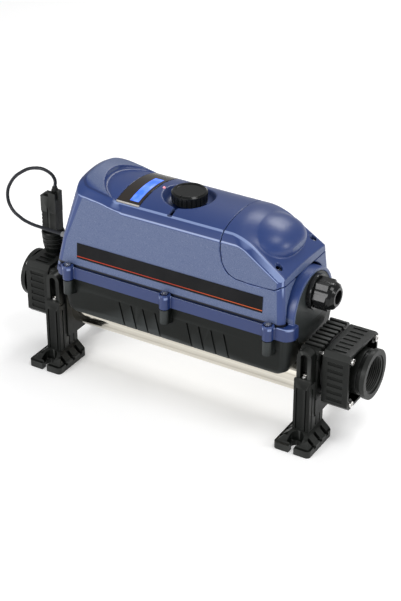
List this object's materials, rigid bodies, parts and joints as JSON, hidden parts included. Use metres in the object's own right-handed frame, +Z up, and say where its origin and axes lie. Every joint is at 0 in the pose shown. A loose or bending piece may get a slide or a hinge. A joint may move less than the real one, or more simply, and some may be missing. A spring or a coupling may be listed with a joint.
{
  "type": "inline electric pool heater",
  "caption": "Inline electric swimming pool heater: steel flow tube between threaded end caps on feet, blue two-piece electrics cover, thermostat knob, display, mains gland and flow switch.",
  "frame": {"origin": "on the floor, midway between the two pipe ports and under their common axis, centre of the four foot holes", "axes": "+X along the pipe towards the mains gland, +Y to the rear, +Z up"},
  "size_m": [0.5161, 0.159, 0.2715],
  "materials": {
    "polished_steel": "polished",
    "screw_steel": "satin",
    "dark_screw": "satin",
    "seal_rubber": "matte",
    "cable_jacket": "satin",
    "black_moulding": "satin",
    "black_case": "satin",
    "gloss_black": "gloss",
    "blue_cover": "satin",
    "label_film": "satin",
    "display_lens": "gloss",
    "display_panel": "gloss",
    "circuit_board": "satin",
    "grey_plastic": "satin",
    "led_lens": "gloss",
    "ivory_plastic": "satin",
    "orange_plastic": "satin",
    "red_plastic": "gloss",
    "brass": "satin",
    "element_sheath": "matte"
  },
  "bodies": {
    "heater": {"flow_tube": "polished_steel", "tube_seals": "seal_rubber", "left_end_housing": "black_moulding", "right_end_housing": "black_moulding", "left_end_cap": "black_moulding", "right_end_cap": "black_moulding", "cap_seals": "seal_rubber", "cap_screws": "screw_steel", "left_front_foot": "black_moulding", "right_front_foot": "black_moulding", "left_rear_foot": "black_moulding", "right_rear_foot": "black_moulding", "foot_screws": "screw_steel", "lower_case": "black_case", "cover_gasket": "seal_rubber", "main_cover": "blue_cover", "access_cover": "blue_cover", "cover_screws": "dark_screw", "access_screws": "dark_screw", "label_strip": "label_film", "display_window": "display_lens", "display_module": "display_panel", "control_board": "circuit_board", "board_screws": "screw_steel", "thermostat_control": "grey_plastic", "knob_seal": "seal_rubber", "indicator_led": "led_lens", "terminal_block": "ivory_plastic", "terminal_screws": "brass", "contactor": "ivory_plastic", "high_limit_cutout": "grey_plastic", "earth_stud": "brass", "heating_elements": "element_sheath", "element_plate": "brass", "element_gasket": "seal_rubber", "element_nuts": "screw_steel", "sensor_pocket": "brass", "gland_body": "gloss_black", "gland_locknut": "gloss_black", "gland_seal": "seal_rubber", "flow_switch_body": "black_moulding", "flow_switch_seal": "seal_rubber", "paddle_pin": "screw_steel", "switch_gland": "seal_rubber", "cable_grommet": "grey_plastic", "flow_switch_cable": "cable_jacket"},
    "knob": {"thermostat_shaft": "grey_plastic", "thermostat_knob": "gloss_black"},
    "gland_cap": {"gland_nut": "gloss_black"},
    "switch_union": {"flow_switch_nut": "black_moulding"},
    "paddle": {"flow_paddle": "grey_plastic"},
    "reset": {"reset_button": "red_plastic"},
    "plunger": {"contactor_plunger": "orange_plastic"}
  },
  "joints": [
    {"name": "knob_turn", "type": "hinge", "parent": "heater", "child": "knob", "pos_m": [-0.008, 0, 0.25], "axis": [0, 0, 1], "range_deg": [-135, 135]},
    {"name": "gland_nut_turn", "type": "hinge", "parent": "heater", "child": "gland_cap", "pos_m": [0.18, 0, 0.178], "axis": [1, 0, 0], "range_deg": [0, 540]},
    {"name": "switch_nut_turn", "type": "hinge", "parent": "heater", "child": "switch_union", "pos_m": [-0.212, 0, 0.14], "axis": [0, 0, 1], "range_deg": [0, 360]},
    {"name": "paddle_swing", "type": "hinge", "parent": "heater", "child": "paddle", "pos_m": [-0.212, 0, 0.1], "axis": [0, 1, 0], "range_deg": [-28, 4], "stiffness_Nm_per_rad": 0.01},
    {"name": "reset_press", "type": "slide", "parent": "heater", "child": "reset", "axis": [0, 0, -1], "range_m": [0, 0.0025], "stiffness_N_per_m": 300, "springref_m": -0.003},
    {"name": "plunger_pull", "type": "slide", "parent": "heater", "child": "plunger", "axis": [0, 0, -1], "range_m": [0, 0.004], "stiffness_N_per_m": 500, "springref_m": -0.003}
  ]
}
